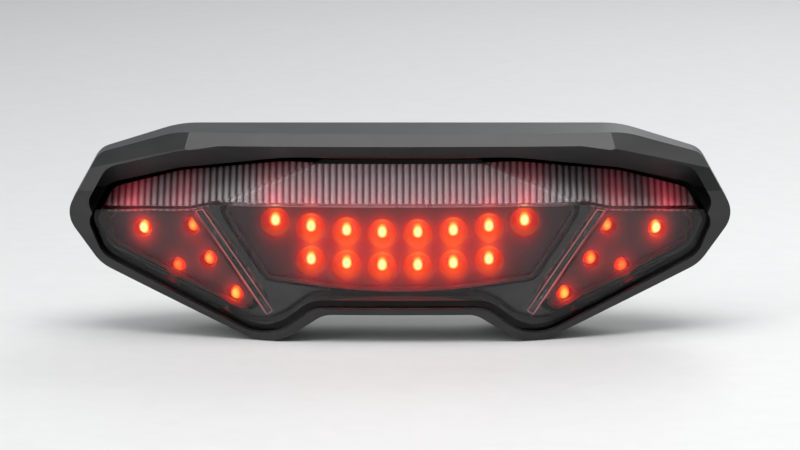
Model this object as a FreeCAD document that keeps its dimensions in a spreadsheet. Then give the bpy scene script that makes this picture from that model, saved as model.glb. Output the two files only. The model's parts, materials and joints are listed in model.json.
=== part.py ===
import FreeCAD, Part
import math
import os

import Sketcher

# Motorcycle tail light, millimetres.  +X is the viewer's right when looking at the lit face, +Z is up and
# the light shines towards -Y.  The origin is the centre of the mounting bolt pattern, on the mounting plane.

Vector = FreeCAD.Vector
DOC = FreeCAD.newDocument("tail_light")

# Driving dimensions.  Every one becomes a cell of the sheet, and the sub-parts are bound to those cells.
SIZES = {
    # lens facets: a horizontal ridge with a leaning band above it and a clear window below it
    "ridge_front": 62,
    "ridge_up": 12,
    "centre_bow": 520,
    "wing_bow": 700,
    "wing_across": 74,
    "wing_set_back": 5.3,
    "wing_up": 9.8,
    "wing_yaw": 20,
    "wing_fall": 3.5,
    "band_lean": 24,
    "window_lean": 6.8,
    "wing_band_lean": 46.6,
    "wing_window_lean": 14.2,
    "facet_reach": 400,
    "far_front": 78,
    "overrun": 1,
    # lens and seal
    "lens_wall": 2.4,
    "lens_back": 32.2,
    "seal_back": 31,
    "lens_clearance": 0.35,
    # bezel
    "rim_proud": 1.9,
    "visor_up": 32.9,
    "visor_set_back": 2,
    "visor_bow": 900,
    "visor_corner": 75,
    "visor_corner_drop": 0.6,
    "visor_corner_set_back": 5,
    "visor_yaw": 18,
    "visor_fall": 13,
    "visor_front_lean": 11,
    "visor_top_lean": 50,
    "visor_under_lean": 43,
    "groove_rise": 7.5,
    "groove_floor": 1,
    "bezel_back": 27,
    "bezel_wall": 2.5,
    "skirt_wall": 1.7,
    "skirt_floor": 33,
    "ring_wall": 2,
    # housing
    "flange_gap": 0.3,
    "flange_back": 28,
    "tub_back": 14,
    "tub_wall": 2.6,
    "tub_inset": 0.4,
    "mount_across": 60,
    "mount_up": 14,
    "boss_radius": 8,
    "insert_radius": 4.5,
    "insert_length": 12,
    "insert_bore": 2.5,
    "pin_across": 30,
    "pin_radius": 2.5,
    "pin_length": 6,
    "pin_boss_radius": 5,
    "web_thick": 2,
    "web_depth": 8,
    "post_radius": 3,
    "post_reach": 24,
    "hole_end_gap": 0.5,
    # bezel screws
    "bezel_screw_radius": 1.5,
    "bezel_screw_head": 2.6,
    "bezel_screw_head_height": 2.2,
    "bezel_screw_length": 8,
    "bezel_screw_drive": 1.2,
    "bezel_boss_radius": 3.3,
    "bezel_boss_front": 64,
    # fluted band and the reflector behind it
    "band_gap": 0.5,
    "band_thick": 2,
    "band_inset": 2.7,
    "backing_gap": 0.8,
    "backing_thick": 1.4,
    "shelf_thick": 1.5,
    "shelf_back": 31.5,
    # boards and the modules that sit on them
    "board_thick": 1.6,
    "centre_board_front": 31,
    "wing_module_front": 29.5,
    "wing_module_up": -7,
    "wing_module_yaw": 16,
    "wing_module_lean": 4,
    "board_screw_radius": 1.5,
    "board_screw_head": 2.8,
    "board_screw_head_height": 2,
    "board_screw_length": 8,
    "board_screw_drive": 1,
    "peg_radius": 1.5,
    "leg_radius": 2.2,
    "peg_proud": 0.8,
    # light-emitting diodes
    "led_pitch": 12.95,
    "led_row_bow": 225,
    "upper_row_up": -2,
    "lower_row_up": -14.2,
    "package_side": 7.2,
    "package_height": 3,
    "dome_radius": 2.4,
    "dome_neck": 1.2,
    # reflectors
    "cup_back": 3.1,
    "cup_throat": 2.7,
    "cup_wall": 0.9,
    "centre_cup": 5.6,
    "wing_cup": 3.4,
    "centre_floor": 10,
    "centre_rim": 13,
    "wing_floor": 7,
    "wing_rim": 9,
    "reflector_skin": 1.3,
    # light blades
    "blade_across": 60.2,
    "blade_up": -9.5,
    "blade_tilt": 33.9,
    "blade_length": 47,
    "blade_thick": 2.8,
    "blade_front": 51.5,
    "blade_back": 39.5,
    # inlet
    "inlet_wide": 22,
    "inlet_high": 14,
    "inlet_depth": 13,
    "inlet_wall": 1.8,
    "inlet_up": -1,
    "inlet_seal_wall": 1.5,
    "inlet_seal_depth": 3,
    "contact_pitch": 4,
    "contact_side": 1,
    "contact_out": 7,
    "contact_in": 7,
    # vent
    "vent_across": 84,
    "vent_up": -6,
    "vent_bore": 2,
    "vent_boss": 5,
    "vent_boss_height": 5,
    "vent_cap": 6.4,
    "vent_cap_rise": 2.5,
    "vent_cap_skirt": 3,
    "vent_cap_roof": 0.8,
    "vent_slot": 2,
    "membrane_radius": 4,
    "membrane_thick": 0.3,
    # parts on the backs of the boards
    "chip_wide": 5,
    "chip_high": 4,
    "chip_thick": 1.6,
    "regulator_wide": 6.6,
    "regulator_high": 6.1,
    "regulator_thick": 2.3,
    "can_radius": 3.2,
    "can_height": 5.5,
    "diode_wide": 4.5,
    "diode_high": 2.6,
    "diode_thick": 2.2,
    "resistor_wide": 2,
    "resistor_high": 1.25,
    "resistor_thick": 0.55,
    "resistor_pitch": 6,
    "resistor_up": -13,
    # wiring
    "wire_radius": 0.7,
    "wire_pitch": 1.8,
    "wire_bend": 2.5,
    "jumper_start_run": 8.4,
    "jumper_end_run": 7,
    "header_wide": 5,
    "header_high": 8,
    "header_depth": 5,
    "inlet_header_wide": 19,
    "inlet_header_high": 6,
    "inlet_header_gap": 5,
    # inner trim
    "trim_inset": 3.2,
    "trim_gap": 2,
    "trim_back": 36.6,
    "trim_front": 38.2,
    "trim_middle": 42,
    "trim_wide": 60,
}

# Corners of each outline, before rounding: across, up, radius.  Mirrored outlines give the right half.
# The band's outline takes in everything above the edge between the band and the window.
OUTLINES = {
    "lens": [(42, 27.9, 90), (80, 22.9, 40), (106, 15.6, 8), (113, 2.8, 5), (108.2, -9.4, 9),
             (47.8, -38.6, 18), (31.4, -26.3, 10)],
    "bezel": [(80, 36.8, 40), (109.4, 27.7, 8), (122, 5, 10), (109, -13.2, 14), (46.9, -41.5, 18),
              (27.6, -28.7, 10)],
    "band": [(150, 60, 5), (150, 4.8, 5), (76, 9.5, 3), (65.5, 11.9, 4)],
    "centre_board": [(61, 9.2, 2), (49.5, -20.5, 4)],
    "centre_tray": [(65.8, 9.5, 3), (48.3, -17.8, 5), (0, -24.8, 200)],
    "wing_board": [(0, 15.2, 1.5), (27.8, 15, 3), (31.4, 10.2, 3), (28.4, 1.6, 3), (-19.4, -21, 2),
                   (-23.2, -18.8, 1.5)],
    "wing_tray": [(-1.6, 13.6, 2), (28.6, 13.4, 4), (32.6, 9.2, 4), (29.6, 1.3, 4), (-20, -22.1, 3),
                  (-24.4, -19.4, 2)],
}
MIRRORED = ("lens", "bezel", "band", "centre_board", "centre_tray")

# Places on the boards, across and up, in each board's own frame.
WING_LEDS = [(18.4, 6.2), (-0.6, 8), (-6.4, -4.2), (-16.2, -16.8), (5.6, -7.4)]
CENTRE_SCREWS = [(54.5, 4.3), (-54.5, 4.3), (43, -15.5), (-43, -15.5)]
CENTRE_PEGS = [(51.8, -8), (-51.8, -8), (0, -7.8), (25.9, 6.4), (-25.9, 6.4)]
WING_SCREWS = [(8.8, 11.8), (-6.5, -13.2)]
WING_PEGS = [(1.2, 0.8), (24.5, 2.2)]
BEZEL_SCREWS = [(28, 31.8), (78, 30.6), (115.2, 7.6)]
CENTRE_HEADER = (46, -2)
WING_HEADER = (-5.7, 2)
CHIPS = [(-22, -6), (22, -6)]
CAPACITORS = [(-16, 4.2), (16, 4.2), (-38, -10)]
DIODES = [(38, 4), (38, 0), (35, -8)]
REGULATOR = (-38, 1)
CENTRE_RESISTORS = 12
CONTACTS = 4
WING_RESISTORS = [(2, 8), (5, 8), (8, 4)]


class Size:
    """An amount held in the sheet, kept with the expression that names it."""

    def __init__(self, value, text):
        self.value = value
        self.text = text

    def __add__(self, other):
        other = as_size(other)
        return Size(self.value + other.value, f"({self.text} + {other.text})")

    def __sub__(self, other):
        other = as_size(other)
        return Size(self.value - other.value, f"({self.text} - {other.text})")

    def __mul__(self, other):
        other = as_size(other)
        return Size(self.value * other.value, f"({self.text} * {other.text})")

    def __truediv__(self, other):
        other = as_size(other)
        return Size(self.value / other.value, f"({self.text} / {other.text})")

    def __radd__(self, other):
        return as_size(other) + self

    def __rsub__(self, other):
        return as_size(other) - self

    def __rmul__(self, other):
        return as_size(other) * self

    def __neg__(self):
        return Size(-self.value, f"(0 - {self.text})")


def as_size(amount):
    return amount if isinstance(amount, Size) else Size(float(amount), f"({float(amount)!r})")


class Names:
    """Gives each cell of the sheet as an attribute."""


def make_sheet():
    """Writes every driving dimension to the sheet, outline corners included."""
    sheet = DOC.addObject("Spreadsheet::Sheet", "Sizes")
    cells = dict(SIZES)
    for outline, corners in OUTLINES.items():
        for i, (across, up, radius) in enumerate(corners, 1):
            cells[f"{outline}_corner_{i}_across"] = across
            cells[f"{outline}_corner_{i}_up"] = up
            cells[f"{outline}_corner_{i}_radius"] = radius
    names = Names()
    for row, (alias, value) in enumerate(cells.items(), 1):
        sheet.set(f"A{row}", alias.replace("_", " "))
        sheet.set(f"B{row}", str(value))
        sheet.setAlias(f"B{row}", alias)
        setattr(names, alias, Size(float(value), f"Sizes.{alias}"))
    DOC.recompute()
    return names


S = make_sheet()
KEPT = []


def keep(thing, label):
    """Marks an object as a finished sub-part and gives it the name of its file."""
    thing.Label = label
    KEPT.append(thing)
    return thing


def bind(thing, **amounts):
    for name, amount in amounts.items():
        thing.setExpression(name, as_size(amount).text)


def move(spot=(0, 0, 0), turn=(0, 0, 0)):
    """The expression of a placement: a spot, and a yaw, pitch and roll."""
    x, y, z = (as_size(v).text for v in spot)
    yaw, pitch, roll = (as_size(v).text for v in turn)
    vector = f"create(<<vector>>; {x}; {y}; {z})"
    rotation = f"create(<<rotation>>; {yaw}; {pitch}; {roll})"
    return f"create(<<placement>>; {vector}; {rotation})"


def place(thing, *moves):
    """Binds a placement made of several moves, the first one outermost."""
    thing.setExpression("Placement", " * ".join(moves))


HERE = move()
FACING = move(turn=(0, 0, 90))


def cylinder(name, radius, height, *moves):
    made = DOC.addObject("Part::Cylinder", name)
    bind(made, Radius=radius, Height=height)
    place(made, *moves)
    return made


def rod(name, radius, where, spot, near, far):
    """A cylinder square to the face of a frame, from near to far in front of that frame's plane."""
    across, up = spot
    return cylinder(name, radius, far - near, where, move((across, -near, up)), FACING)


def cone(name, back_radius, front_radius, where, spot, near, far):
    made = DOC.addObject("Part::Cone", name)
    bind(made, Radius1=back_radius, Radius2=front_radius, Height=far - near)
    across, up = spot
    place(made, where, move((across, -near, up)), FACING)
    return made


def block(name, where, spot, wide, high, near, far):
    """A box centred on a spot of a frame, from near to far in front of that frame's plane."""
    made = DOC.addObject("Part::Box", name)
    bind(made, Length=wide, Width=far - near, Height=high)
    across, up = spot
    place(made, where, move((across - wide / 2, -far, up - high / 2)))
    return made


def joined(kind, name, shapes):
    made = DOC.addObject(kind, name)
    made.Shapes = shapes
    return made


def fused(name, *shapes):
    return joined("Part::MultiFuse", name, list(shapes))


def common(name, *shapes):
    return joined("Part::MultiCommon", name, list(shapes))


def group(name, *shapes):
    made = DOC.addObject("Part::Compound", name)
    made.Links = list(shapes)
    return made


def cut(name, base, tool):
    made = DOC.addObject("Part::Cut", name)
    made.Base = base
    made.Tool = tool
    return made


def copy_of(name, shape, *moves):
    """Another copy of a shape, somewhere else."""
    made = group(name, shape)
    place(made, *moves)
    return made


def outline_corners(name, side=1):
    """The corners of an outline, all the way round."""
    count = len(OUTLINES[name])
    right = []
    for i in range(1, count + 1):
        cell = f"{name}_corner_{i}_"
        right.append((getattr(S, cell + "across"), getattr(S, cell + "up"), getattr(S, cell + "radius")))
    if name not in MIRRORED:
        return [(across * side, up, radius) for across, up, radius in right]
    left = [(-across, up, radius) for across, up, radius in reversed(right) if across.value != 0]
    return right + left


def rounded_corner(before, corner, after, radius):
    """The arc that rounds a corner, and whether it turns to the left on the way round."""
    to_before = (before - corner).normalize()
    to_after = (after - corner).normalize()
    half = to_before.getAngle(to_after) / 2
    start = corner + to_before * (radius / math.tan(half))
    end = corner + to_after * (radius / math.tan(half))
    centre = corner + (to_before + to_after).normalize() * (radius / math.sin(half))
    leftward = to_after.cross(to_before).z > 0
    first, last = (start, end) if leftward else (end, start)
    angles = [math.atan2(p.y - centre.y, p.x - centre.x) for p in (first, last)]
    circle = Part.Circle(centre, Vector(0, 0, 1), radius)
    return Part.ArcOfCircle(circle, angles[0], angles[1]), start, end, leftward


def draw_outline(sketch, corners):
    """Draws straight sides joined by tangent arcs, with every corner and radius bound to the sheet."""
    points = [Vector(across.value, up.value, 0) for across, up, _ in corners]
    count = len(points)
    rounds = []
    for i, (_, _, radius) in enumerate(corners):
        rounds.append(rounded_corner(points[i - 1], points[i], points[(i + 1) % count], radius.value))
    arcs = [sketch.addGeometry(arc, False) for arc, _, _, _ in rounds]
    lines = []
    for i in range(count):
        side = Part.LineSegment(rounds[i][2], rounds[(i + 1) % count][1])
        lines.append(sketch.addGeometry(side, False))
    marks = [sketch.addGeometry(Part.Point(point), True) for point in points]
    for i, (across, up, radius) in enumerate(corners):
        leftward = rounds[i][3]
        enter, leave = (1, 2) if leftward else (2, 1)
        sketch.addConstraint(Sketcher.Constraint("Tangent", lines[i - 1], 2, arcs[i], enter))
        sketch.addConstraint(Sketcher.Constraint("Tangent", arcs[i], leave, lines[i], 1))
        sketch.addConstraint(Sketcher.Constraint("PointOnObject", marks[i], 1, lines[i - 1]))
        sketch.addConstraint(Sketcher.Constraint("PointOnObject", marks[i], 1, lines[i]))
        for kind, amount in (("DistanceX", across), ("DistanceY", up)):
            made = sketch.addConstraint(Sketcher.Constraint(kind, -1, 1, marks[i], 1, amount.value))
            sketch.setExpression(f"Constraints[{made}]", amount.text)
        made = sketch.addConstraint(Sketcher.Constraint("Radius", arcs[i], radius.value))
        sketch.setExpression(f"Constraints[{made}]", radius.text)


def draw_circle(sketch, across, up, radius):
    """A circle whose centre and radius are bound."""
    circle = Part.Circle(Vector(across.value, up.value, 0), Vector(0, 0, 1), radius.value)
    made = sketch.addGeometry(circle, False)
    for kind, amount in (("DistanceX", across), ("DistanceY", up)):
        at = sketch.addConstraint(Sketcher.Constraint(kind, -1, 1, made, 3, amount.value))
        sketch.setExpression(f"Constraints[{at}]", amount.text)
    at = sketch.addConstraint(Sketcher.Constraint("Radius", made, radius.value))
    sketch.setExpression(f"Constraints[{at}]", radius.text)


def outline(name, where=HERE, side=1):
    """A sketch of an outline on the face of a frame."""
    sketch = DOC.addObject("Sketcher::SketchObject", f"{name}_outline")
    place(sketch, where, FACING)
    draw_outline(sketch, outline_corners(name, side))
    return sketch


def grown(name, sketch, amount):
    """An outline moved outwards, or inwards where the amount is negative."""
    made = DOC.addObject("Part::Offset2D", name)
    made.Source = sketch
    bind(made, Value=amount)
    return made


def prism(name, profile, near, far):
    """A solid from near to far in front of the profile's plane."""
    made = DOC.addObject("Part::Extrusion", name)
    made.Base = profile
    made.DirMode = "Normal"
    made.Solid = True
    bind(made, LengthFwd=far, LengthRev=-as_size(near))
    return made


def centre_facet(name, lean, inset):
    """Everything behind one of the lens's middle facets, moved back by inset."""
    apex = move((0, -S.ridge_front, S.ridge_up), (0, 0, -lean))
    axis = move((0, S.centre_bow, S.facet_reach / -2))
    return cylinder(name, S.centre_bow - inset, S.facet_reach, apex, axis)


def wing_facet(name, side, lean, inset):
    """Everything behind one of the lens's wing facets, moved back by inset."""
    spot = (S.wing_across * side, S.wing_set_back - S.ridge_front, S.wing_up)
    apex = move(spot, (S.wing_yaw * side, S.wing_fall * side, -lean))
    axis = move((0, S.wing_bow, S.facet_reach / -2))
    return cylinder(name, S.wing_bow - inset, S.facet_reach, apex, axis)


def band_facets(name, inset):
    facets = [centre_facet(f"{name}_centre_band", S.band_lean, inset)]
    for side in (-1, 1):
        facets.append(wing_facet(f"{name}_wing_band", side, S.wing_band_lean, inset))
    return facets


def window_facets(name, inset):
    facets = [centre_facet(f"{name}_centre_window", -S.window_lean, inset)]
    for side in (-1, 1):
        facets.append(wing_facet(f"{name}_wing_window", side, -S.wing_window_lean, inset))
    return facets


def visor_facets(name, lean, inset):
    """Everything behind the three facets that meet along the visor's lip."""
    middle = move((0, S.visor_set_back - S.ridge_front, S.visor_up), (0, 0, -lean))
    axis = move((0, S.visor_bow, S.facet_reach / -2))
    facets = [cylinder(f"{name}_middle", S.visor_bow - inset, S.facet_reach, middle, axis)]
    for side in (-1, 1):
        spot = (S.visor_corner * side, S.visor_corner_set_back - S.ridge_front,
                S.visor_up - S.visor_corner_drop)
        corner = move(spot, (S.visor_yaw * side, S.visor_fall * side, -lean))
        facets.append(cylinder(f"{name}_side", S.visor_bow - inset, S.facet_reach, corner, axis))
    return facets


LENS = outline("lens")
BEZEL = outline("bezel")


def outer_lens():
    """Clear shell: faceted front, side wall back to the seal."""
    outer = common("lens_outer", prism("lens_block", LENS, S.lens_back, S.far_front),
                   *band_facets("lens_face", 0), *window_facets("lens_face", 0))
    inside = grown("lens_inside", LENS, -S.lens_wall)
    inner = common("lens_inner", prism("lens_hollow", inside, S.seal_back, S.far_front),
                   *band_facets("lens_back_face", S.lens_wall),
                   *window_facets("lens_back_face", S.lens_wall))
    return keep(cut("lens", outer, inner), "outer_lens")


def lens_seal():
    """Sealing bead between the lens's wall and the housing's flange."""
    inside = grown("seal_inside", LENS, -S.lens_wall)
    outer = prism("seal_outer", LENS, S.seal_back, S.lens_back)
    inner = prism("seal_hole", inside, S.seal_back, S.lens_back)
    return keep(cut("seal", outer, inner), "lens_seal")


def bezel_screw_spots():
    return [(across * side, up) for across, up in BEZEL_SCREWS for side in (-1, 1)]


def bezel():
    """Black surround: visor above the lens, thin proud rim round the rest, hollow behind."""
    body = common("bezel_body", prism("bezel_block", BEZEL, S.bezel_back, S.far_front),
                  *visor_facets("visor_front", S.visor_front_lean, 0),
                  *visor_facets("visor_top", S.visor_top_lean, 0),
                  *window_facets("rim_face", -S.rim_proud))
    mouth = prism("bezel_mouth", grown("bezel_opening", LENS, S.lens_clearance),
                  S.bezel_back - S.overrun, S.far_front + S.overrun)
    raised = copy_of("bezel_mouth_raised", mouth, move((0, 0, S.groove_rise)))
    under = common("visor_under", *visor_facets("visor_under", -S.visor_under_lean, 0))
    floor = common("groove_floor", *band_facets("groove_floor", S.groove_floor),
                   *window_facets("groove_floor", S.groove_floor))
    groove = cut("bezel_groove", raised, fused("bezel_groove_limit", under, floor))
    skirt = prism("bezel_skirt_hollow", grown("bezel_skirt_inside", BEZEL, -S.skirt_wall),
                  S.bezel_back - S.overrun, S.skirt_floor)
    ring = cut("bezel_ring",
               prism("bezel_ring_outer", grown("bezel_ring_outline", BEZEL, -S.bezel_wall),
                     S.skirt_floor - S.overrun, S.far_front),
               prism("bezel_ring_inner", grown("bezel_ring_hole", LENS, S.lens_clearance + S.ring_wall),
                     S.skirt_floor - S.overrun * 2, S.far_front + S.overrun))
    channel = common("bezel_channel", ring,
                     *visor_facets("visor_front_inside", S.visor_front_lean, S.bezel_wall),
                     *visor_facets("visor_top_inside", S.visor_top_lean, S.bezel_wall),
                     *visor_facets("visor_under_inside", -S.visor_under_lean, S.bezel_wall),
                     *window_facets("rim_inside", S.bezel_wall - S.rim_proud))
    bosses = group("bezel_bosses", *[
        rod("bezel_boss", S.bezel_boss_radius, HERE, spot, S.seal_back, S.bezel_boss_front)
        for spot in bezel_screw_spots()])
    hollow = cut("bezel_hollow", fused("bezel_hollows", skirt, channel), bosses)
    pilots = group("bezel_pilots", *[
        rod("bezel_pilot", S.bezel_screw_radius, HERE, spot, S.seal_back - S.overrun,
            S.flange_back + S.bezel_screw_length + S.hole_end_gap)
        for spot in bezel_screw_spots()])
    return keep(cut("bezel_cut", body, fused("bezel_cuts", mouth, groove, hollow, pilots)), "bezel")


def bezel_screws():
    """Pan-head screws that hold the bezel through the housing's flange, from behind."""
    screws = []
    for spot in bezel_screw_spots():
        head_back = S.flange_back - S.bezel_screw_head_height
        head = rod("bezel_screw_head", S.bezel_screw_head, HERE, spot, head_back, S.flange_back)
        shank = rod("bezel_screw_shank", S.bezel_screw_radius, HERE, spot, S.flange_back,
                    S.flange_back + S.bezel_screw_length)
        drive = rod("bezel_screw_drive", S.bezel_screw_radius, HERE, spot, head_back - S.overrun,
                    head_back + S.bezel_screw_drive)
        screws.append(cut("bezel_screw", fused("bezel_screw_body", head, shank), drive))
    return keep(group("bezel_screw_set", *screws), "bezel_screws")


CENTRE_FRAME = move((0, -S.centre_board_front, 0))


def wing_frame(side):
    spot = (S.wing_across * side, -S.wing_module_front, S.wing_module_up)
    return move(spot, (S.wing_module_yaw * side, 0, S.wing_module_lean))


def centre_leds():
    """Two rows that sag to the middle: eight above and six below."""
    spots = []
    for row_up, count in ((S.upper_row_up, 8), (S.lower_row_up, 6)):
        for i in range(count):
            across = S.led_pitch * (i - (count - 1) / 2)
            spots.append((across, row_up + across * across / (S.led_row_bow * 2)))
    return spots


def mirrored(spots, side):
    return [(across * side, as_size(up)) for across, up in spots]


# Each module: its name, frame and side, the spots of its diodes, screws and pegs, and its cup radius.
MODULES = [("centre", CENTRE_FRAME, 1, centre_leds(), CENTRE_SCREWS, CENTRE_PEGS, S.centre_cup)]
for label, hand in (("left", -1), ("right", 1)):
    MODULES.append((label, wing_frame(hand), hand, mirrored(WING_LEDS, hand),
                    mirrored(WING_SCREWS, hand), mirrored(WING_PEGS, hand), S.wing_cup))


def outline_name(label, piece):
    return f"{'centre' if label == 'centre' else 'wing'}_{piece}"


def board(label, where, side, screws, pegs):
    """Circuit board: a padded outline with holes for its screws and the reflector's pegs."""
    body = DOC.addObject("PartDesign::Body", f"{label}_board_body")
    plane = next(f for f in body.Origin.OriginFeatures if f.Role == "XZ_Plane")
    shape = body.newObject("Sketcher::SketchObject", "board_outline")
    shape.AttachmentSupport = [(plane, "")]
    shape.MapMode = "FlatFace"
    shape.setExpression("AttachmentOffset.Base.z", f"-1 * {S.board_thick.text}")
    draw_outline(shape, outline_corners(outline_name(label, "board"), side))
    pad = body.newObject("PartDesign::Pad", "board_pad")
    pad.Profile = shape
    bind(pad, Length=S.board_thick)
    holes = body.newObject("Sketcher::SketchObject", "board_holes")
    holes.AttachmentSupport = [(plane, "")]
    holes.MapMode = "FlatFace"
    for spots, radius in ((screws, S.board_screw_radius), (pegs, S.peg_radius)):
        for across, up in spots:
            draw_circle(holes, as_size(across), as_size(up), radius)
    pocket = body.newObject("PartDesign::Pocket", "board_drilling")
    pocket.Profile = holes
    pocket.Midplane = True
    bind(pocket, Length=S.board_thick * 4)
    place(body, where)
    return keep(body, f"{label}_board")


def leds(label, where, spots):
    """Square diode packages with round domes."""
    packages = []
    domes = []
    for spot in spots:
        packages.append(block("package", where, spot, S.package_side, S.package_side,
                              as_size(0), S.package_height))
        top = S.package_height + S.dome_neck
        neck = rod("dome_neck", S.dome_radius, where, spot, S.package_height, top)
        cap = DOC.addObject("Part::Sphere", "dome_cap")
        cap.Angle1 = 0
        bind(cap, Radius=S.dome_radius)
        place(cap, where, move((spot[0], -top, spot[1])), FACING)
        domes.append(fused("dome", neck, cap))
    keep(group(f"{label}_package_set", *packages), f"{label}_led_packages")
    keep(group(f"{label}_dome_set", *domes), f"{label}_led_domes")


def reflector(label, where, side, spots, pegs, cup):
    """Moulded tray with a raised rim, a cone round every diode and pegs into the board."""
    sketch = outline(outline_name(label, "tray"), where, side)
    floor, rim = (S.centre_floor, S.centre_rim) if label == "centre" else (S.wing_floor, S.wing_rim)
    floor_back = floor - S.reflector_skin
    clear = prism("tray_hollow", grown("tray_inside", sketch, -S.reflector_skin), floor, rim + S.overrun)
    tray = cut(f"{label}_tray", prism("tray_block", sketch, floor_back, rim), clear)
    shells = [tray]
    holes = []
    for spot in spots:
        shells.append(cone("cup_outside", S.cup_throat + S.cup_wall, cup + S.cup_wall, where, spot,
                           S.cup_back, floor))
        holes.append(cone("cup_inside", S.cup_throat, cup, where, spot, S.cup_back, floor))
    for spot in pegs:
        leg_end = floor_back + S.reflector_skin / 2
        shells.append(rod("leg", S.leg_radius, where, spot, as_size(0), leg_end))
        shells.append(rod("peg", S.peg_radius, where, spot, -(S.board_thick + S.peg_proud), as_size(0)))
    made = cut(f"{label}_reflector_cut", fused(f"{label}_reflector_body", *shells),
               group("cup_holes", *holes))
    return keep(made, f"{label}_reflector")


def board_screws(label, where, screws):
    """Screws that hold a board to the housing's posts."""
    made = []
    for spot in screws:
        head = rod("board_screw_head", S.board_screw_head, where, spot, as_size(0),
                   S.board_screw_head_height)
        shank = rod("board_screw_shank", S.board_screw_radius, where, spot, -S.board_screw_length,
                    as_size(0))
        drive = rod("board_screw_drive", S.board_screw_radius, where, spot,
                    S.board_screw_head_height - S.board_screw_drive,
                    S.board_screw_head_height + S.overrun)
        made.append(cut("board_screw", fused("board_screw_body", head, shank), drive))
    return keep(group(f"{label}_board_screw_set", *made), f"{label}_board_screws")


def mount_spots():
    return [(S.mount_across * i, S.mount_up * j) for i in (-1, 1) for j in (-1, 1)]


def rear_housing():
    """Tub behind the lens with its flange, posts, mounting bosses, pins, inlet shroud and vent."""
    opening = grown("tub_inside", LENS, -(S.tub_inset + S.tub_wall))
    flange_outline = grown("flange_outline", BEZEL, -(S.skirt_wall + S.flange_gap))
    flange = prism("flange", flange_outline, S.flange_back, S.seal_back)
    tub = prism("tub", grown("tub_outline", LENS, -S.tub_inset), S.tub_back, S.seal_back)
    hollow = prism("tub_hollow", opening, S.tub_back + S.tub_wall, S.seal_back + S.overrun)
    shell = cut("tub_shell", fused("tub_solid", flange, tub), hollow)
    solid = [shell]
    for spot in mount_spots():
        solid.append(rod("mount_boss", S.boss_radius, HERE, spot, as_size(0), S.tub_back + S.overrun))
    for up in (-1, 1):
        solid.append(block("web_along", HERE, (0, S.mount_up * up), S.mount_across * 2, S.web_thick,
                           S.tub_back - S.web_depth, S.tub_back + S.overrun))
    for across in (-1, 1):
        solid.append(block("web_up", HERE, (S.mount_across * across, 0), S.web_thick, S.mount_up * 2,
                           S.tub_back - S.web_depth, S.tub_back + S.overrun))
        spot = (S.pin_across * across, as_size(0))
        solid.append(rod("pin_boss", S.pin_boss_radius, HERE, spot, as_size(0), S.tub_back + S.overrun))
        solid.append(rod("locating_pin", S.pin_radius, HERE, spot, -S.pin_length, S.overrun))
    socket = (0, S.inlet_up)
    solid.append(block("inlet_shroud", HERE, socket, S.inlet_wide, S.inlet_high,
                       S.tub_back - S.inlet_depth, S.tub_back + S.overrun))
    for spot in vent_spots():
        solid.append(rod("vent_stub", S.vent_boss, HERE, spot, S.tub_back - S.vent_boss_height,
                         S.tub_back + S.overrun))
    posts = []
    for _, where, _, _, screws, _, _ in MODULES:
        for spot in screws:
            posts.append(rod("post", S.post_radius, where, spot, -S.post_reach, -S.board_thick))
    inside = prism("post_limit", opening, S.tub_back + S.overrun, S.seal_back)
    solid.append(common("posts", group("post_set", *posts), inside))
    holes = []
    for spot in mount_spots():
        holes.append(rod("insert_hole", S.insert_radius, HERE, spot, -S.overrun, S.insert_length))
    shroud_inside = S.inlet_wall * 2
    holes.append(block("inlet_hollow", HERE, socket, S.inlet_wide - shroud_inside,
                       S.inlet_high - shroud_inside, S.tub_back - S.inlet_depth - S.overrun,
                       S.tub_back))
    for spot in vent_spots():
        holes.append(rod("vent_hole", S.vent_bore, HERE, spot,
                         S.tub_back - S.vent_boss_height - S.overrun,
                         S.tub_back + S.tub_wall + S.overrun))
    for spot in contact_spots():
        holes.append(block("contact_slot", HERE, spot, S.contact_side, S.contact_side,
                           S.tub_back - S.overrun, S.tub_back + S.tub_wall + S.overrun))
    for spot in bezel_screw_spots():
        holes.append(rod("flange_hole", S.bezel_screw_radius, HERE, spot, S.flange_back - S.overrun,
                         S.seal_back + S.overrun))
    for _, where, _, _, screws, _, _ in MODULES:
        for spot in screws:
            holes.append(rod("post_hole", S.board_screw_radius, where, spot,
                             -(S.board_screw_length + S.hole_end_gap), S.overrun))
    return keep(cut("housing", fused("housing_solid", *solid), group("housing_holes", *holes)),
                "rear_housing")


def threaded_inserts():
    """Brass inserts in the four mounting bosses."""
    made = []
    for spot in mount_spots():
        sleeve = rod("insert_sleeve", S.insert_radius, HERE, spot, as_size(0), S.insert_length)
        bore = rod("insert_bore", S.insert_bore, HERE, spot, -S.overrun, S.insert_length + S.overrun)
        made.append(cut("insert", sleeve, bore))
    return keep(group("insert_set", *made), "threaded_inserts")


BAND = outline("band")
BAND_ROOM = prism("band_room", grown("band_room_outline", LENS, -S.band_inset), S.shelf_back, S.far_front)


def band_shell(name, outer_inset, thick):
    """A thin shell that follows the band's facets, inside the lens's wall."""
    above = prism(f"{name}_above", BAND, S.seal_back, S.far_front)
    outer = common(f"{name}_outer", BAND_ROOM, above, *band_facets(name, outer_inset))
    inner = common(f"{name}_inner", *band_facets(f"{name}_back", outer_inset + thick))
    return cut(f"{name}_shell", outer, inner)


def from_shelf_up():
    """Everything above the underside of the shelf."""
    block_above = prism("shelf_above", BAND, -S.overrun, S.far_front + S.overrun)
    return copy_of("shelf_space", block_above, move((0, 0, -S.shelf_thick)))


def fluted_band():
    """Ribbed strip behind the upper band of the lens."""
    return keep(band_shell("flutes", S.lens_wall + S.band_gap, S.band_thick), "fluted_band")


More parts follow.
